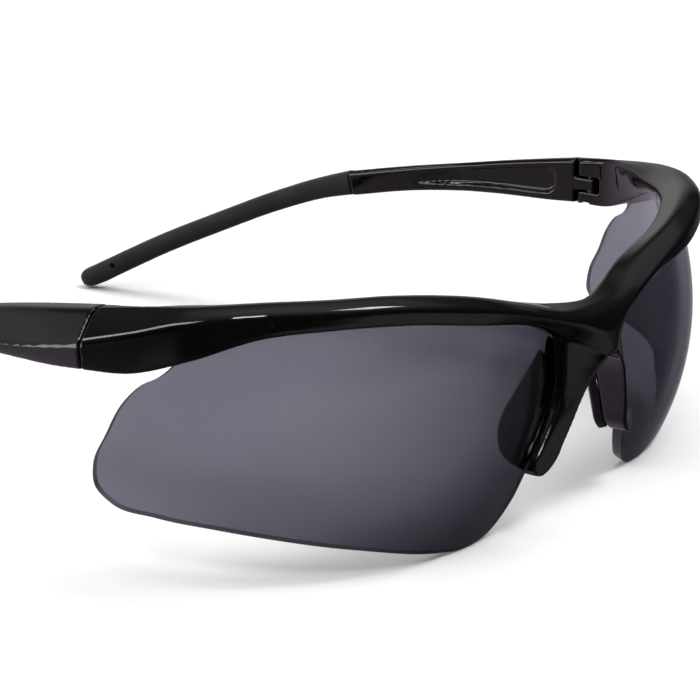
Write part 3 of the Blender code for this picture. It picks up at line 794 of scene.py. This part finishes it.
def build_temple(side, suffix, material):
    rings = [rounded(corners, TEMPLE_ROUNDING) for corners in temple_corners(TEMPLE_STEPS)]
    temple = loft(f"visual_temple_{suffix}", rings, side)
    combine(temple, [loft(f"recess_{suffix}", recess_rings(), side)], "DIFFERENCE")
    join(temple, [
        cylinder(f"tongue_end_{suffix}", HINGE_X, HINGE_Y, TONGUE_LOW, TONGUE_HIGH, TONGUE_RADIUS, side),
        block(f"tongue_{suffix}", (HINGE_X - TONGUE_RADIUS, HINGE_Y, TONGUE_LOW),
              (HINGE_X + TONGUE_RADIUS, TONGUE_ROOT, TONGUE_HIGH), side),
        block(f"tongue_heel_{suffix}", (HINGE_X - TONGUE_RADIUS, HINGE_Y - TONGUE_HEEL, TONGUE_LOW),
              (HINGE_X, HINGE_Y, TONGUE_HIGH), side),
        loft(f"tail_{suffix}", sleeve_rings(CORE_MARGIN + GAP, -CORE_OVERLAP, CORE_END_Y, CORE_STEPS,
                                            CORE_SIDES), side)])
    melt(temple, TEMPLE_FINE, TONGUE_PASSES)
    eye = cylinder(f"eye_{suffix}", HINGE_X, HINGE_Y, TONGUE_LOW - 1, TONGUE_HIGH + 1, BORE_RADIUS, side)
    combine(temple, [eye], "DIFFERENCE")
    melt(temple, TEMPLE_FINE, TEMPLE_PASSES)
    temple.data.materials.append(material)
    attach(temple, f"temple_{suffix}")
    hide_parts(f"temple_{suffix}")


def build_sleeve(side, suffix, material):
    sleeve = loft(f"visual_temple_sleeve_{suffix}", sleeve_rings(), side)
    pocket = loft(f"pocket_{suffix}", sleeve_rings(CORE_MARGIN, -POCKET_MOUTH, CORE_END_Y + POCKET_PLAY,
                                                   CORE_STEPS, CORE_SIDES), side)
    track = smooth_through(SLEEVE_STATIONS, 200)
    place = track[np.argmin(np.abs(track[:, 1] - CORD_HOLE_Y))][:3]
    crosswise = Matrix.Translation(placed(place, side)) @ Matrix.Rotation(math.pi / 2, 4, "Y")
    cord_hole = round_bar(f"cord_hole_{suffix}", CORD_HOLE_RADIUS, CORD_HOLE_LENGTH, crosswise)
    combine(sleeve, [pocket, cord_hole], "DIFFERENCE")
    melt(sleeve, SLEEVE_FINE, SLEEVE_PASSES)
    sleeve.data.materials.append(material)
    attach(sleeve, f"temple_{suffix}")
    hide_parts(f"temple_sleeve_{suffix}")


# ---------------------------------------------------------------- studio

# Metres from here to the end of the section.
CAMERA_PLACE = (-0.28709, -0.24838, 0.12620)
CAMERA_TARGET = (0.0, -0.03046, 0.01793)
CAMERA_LENS = 113.143                       # millimetres, on a sensor 36 mm wide
# Name, direction, distance, width, height, power, and whether it is seen in reflections.
LAMPS = (
    ("overhead", (0.10, -0.20, 0.97), 1.8, 1.9, 1.9, 20.0, False),
    ("rear_fill", (0.5, 0.8, 0.55), 1.6, 1.0, 0.5, 4.0, False),
    ("crest_light", (0.19, -0.41, 0.89), 1.8, 0.60, 0.40, 10.0, True),
    ("end_piece_light", (-0.70, -0.30, 0.69), 1.2, 0.40, 0.20, 3.6, True),
    ("left_rear_strip", (-0.73, 0.32, 0.59), 0.9, 0.56, 0.11, 1.3, True),
    ("side_strip", (-0.78, 0.58, 0.10), 1.0, 0.60, 0.20, 1.3, True),
)
PAPER_FLAT = 3.0
PAPER_BEND = 1.5
PAPER_TOP = 5.0
PAPER_SIDES = 96
PAPER_BEND_STEPS = 16
PAPER_GLOW = (0.35, 1.6)                    # where the paper starts to glow, and where it glows fully

# The studio's brightness by direction, as stops. Above the horizon they go by height, with one set for the
# front and one for the rear. Below it they go by how far back the direction points.
SKY_FRONT = ((0.0, (0.010, 0.010, 0.010)), (0.30, (0.03, 0.029, 0.031)), (0.58, (0.08, 0.083, 0.08)),
             (0.80, (0.34, 0.355, 0.34)), (1.0, (0.60, 0.64, 0.60)))
SKY_REAR = ((0.0, (0.24, 0.23, 0.24)), (0.28, (0.52, 0.51, 0.50)), (0.44, (0.40, 0.39, 0.38)),
            (0.60, (0.07, 0.07, 0.07)), (0.80, (0.12, 0.125, 0.12)), (1.0, (0.60, 0.64, 0.60)))
SKY_BELOW = ((-1.0, (0.36, 0.36, 0.35)), (-0.82, (0.30, 0.29, 0.30)), (-0.6, (0.10, 0.09, 0.10)),
             (-0.35, (0.03, 0.027, 0.03)), (0.05, (0.09, 0.085, 0.09)), (0.45, (0.36, 0.30, 0.37)),
             (1.0, (0.62, 0.53, 0.64)))
FRONT_TO_REAR = (0.25, 0.65)
ABOVE_TO_BELOW = (0.14, 0.0)


def aim(target, place, towards):
    target.location = place
    target.rotation_mode = "QUATERNION"
    target.rotation_quaternion = (Vector(towards) - Vector(place)).to_track_quat("-Z", "Y")


def softbox(name, direction, distance, width, height, power, in_reflections):
    lamp = bpy.data.lights.new(name, "AREA")
    lamp.shape = "RECTANGLE"
    lamp.size, lamp.size_y = width, height
    lamp.energy = power
    made = bpy.data.objects.new(name, lamp)
    made.visible_glossy = in_reflections
    bpy.context.scene.collection.objects.link(made)
    aim(made, Vector(direction).normalized() * distance, (0.0, 0.0, 0.0))


def sky_ramp(tree, value, low, high, stops):
    """The colour that stops give for value, which lies between low and high."""
    spread = tree.nodes.new("ShaderNodeMapRange")
    spread.inputs["From Min"].default_value = low
    spread.inputs["From Max"].default_value = high
    tree.links.new(value, spread.inputs["Value"])
    ramp = tree.nodes.new("ShaderNodeValToRGB")
    ramp.color_ramp.interpolation = "EASE"
    stack = ramp.color_ramp.elements
    for at, _ in stops[1:-1]:
        stack.new((at - low) / (high - low))
    for element, (_, colour) in zip(stack, stops):
        element.color = (*colour, 1.0)
    tree.links.new(spread.outputs["Result"], ramp.inputs["Fac"])
    return ramp.outputs["Color"]


def sky_mix(tree, value, low, high, first, second):
    """Fade from first to second as value goes from low to high."""
    share = tree.nodes.new("ShaderNodeMapRange")
    share.inputs["From Min"].default_value = low
    share.inputs["From Max"].default_value = high
    tree.links.new(value, share.inputs["Value"])
    both = tree.nodes.new("ShaderNodeMix")
    both.data_type = "RGBA"
    tree.links.new(share.outputs["Result"], both.inputs["Factor"])
    tree.links.new(first, both.inputs["A"])
    tree.links.new(second, both.inputs["B"])
    return both.outputs["Result"]


def sweep_of_paper():
    """The floor: flat near the object, and curving up into a wall far from it."""
    shape = bmesh.new()
    rings = [[shape.verts.new((0.0, 0.0, 0.0))]]
    profile = [(PAPER_FLAT, 0.0)]
    for i in range(1, PAPER_BEND_STEPS + 1):
        turn = math.pi / 2 * i / PAPER_BEND_STEPS
        profile.append((PAPER_FLAT + PAPER_BEND * math.sin(turn), PAPER_BEND * (1 - math.cos(turn))))
    profile.append((PAPER_FLAT + PAPER_BEND, PAPER_TOP))
    turns = [math.tau * i / PAPER_SIDES for i in range(PAPER_SIDES)]
    for reach, height in profile:
        rings.append([shape.verts.new((reach * math.cos(turn), reach * math.sin(turn), height))
                      for turn in turns])
    for i in range(PAPER_SIDES):
        j = (i + 1) % PAPER_SIDES
        shape.faces.new((rings[0][0], rings[1][i], rings[1][j]))
        for near, far in zip(rings[1:], rings[2:]):
            shape.faces.new((near[i], far[i], far[j], near[j]))
    return shape


def build_studio():
    floor = new_object("floor", sweep_of_paper())
    floor.data.shade_smooth()
    floor.data.materials.append(matt_floor("floor_matt"))
    # The floor only shows to the camera and through the lenses: the world's lower half stands for it in
    # reflections, and its glow and walls don't change the light on the glasses.
    floor.visible_glossy = False
    floor.visible_diffuse = False
    floor.visible_shadow = False

    camera = bpy.data.cameras.new("camera")
    camera.sensor_width = 36.0
    camera.lens = CAMERA_LENS
    camera.clip_start = 0.01
    made = bpy.data.objects.new("camera", camera)
    bpy.context.scene.collection.objects.link(made)
    aim(made, CAMERA_PLACE, CAMERA_TARGET)
    bpy.context.scene.camera = made

    for lamp in LAMPS:
        softbox(*lamp)

    world = bpy.data.worlds.new("studio")
    world.use_nodes = True
    bpy.context.scene.world = world
    tree = world.node_tree
    split = tree.nodes.new("ShaderNodeSeparateXYZ")
    tree.links.new(tree.nodes.new("ShaderNodeTexCoord").outputs["Generated"], split.inputs["Vector"])
    front, rear = (sky_ramp(tree, split.outputs["Z"], 0.0, 1.0, stops) for stops in (SKY_FRONT, SKY_REAR))
    above = sky_mix(tree, split.outputs["Y"], *FRONT_TO_REAR, front, rear)
    below = sky_ramp(tree, split.outputs["Y"], -1.0, 1.0, SKY_BELOW)
    whole = sky_mix(tree, split.outputs["Z"], *ABOVE_TO_BELOW, above, below)
    tree.links.new(whole, tree.nodes["Background"].inputs["Color"])
    bpy.context.scene.view_settings.view_transform = "Standard"
    bpy.context.scene.view_settings.look = "None"


# ---------------------------------------------------------------- the glasses

build_studio()
front_black = gloss_black("front_black", (0.0012, 0.0010, 0.0012), (0.0026, 0.0022, 0.0026),
                          (0.016, 0.015, 0.017))
temple_black = gloss_black("temple_black", (0.0014, 0.0012, 0.0014), (0.0030, 0.0026, 0.0030),
                           (0.018, 0.017, 0.018))
lens_smoke = smoke_lens("lens_smoke")
lens_rim = ground_rim("lens_rim")
pad_rubber = soft_rubber("pad_rubber", (0.012, 0.0095, 0.013), (0.018, 0.014, 0.019),
                         (0.04, 0.035, 0.04), 0.42)
sleeve_rubber = soft_rubber("sleeve_rubber", (0.0095, 0.009, 0.0095), (0.015, 0.014, 0.015),
                            (0.035, 0.034, 0.034), 0.55)
steel = screw_steel("screw_steel")

build_front(front_black)
for side, suffix in SIDES:
    build_lens(side, suffix, lens_smoke, lens_rim)
    build_pad(side, suffix, pad_rubber)
    build_screw(side, suffix, steel)
    build_temple(side, suffix, temple_black)
    build_sleeve(side, suffix, sleeve_rubber)
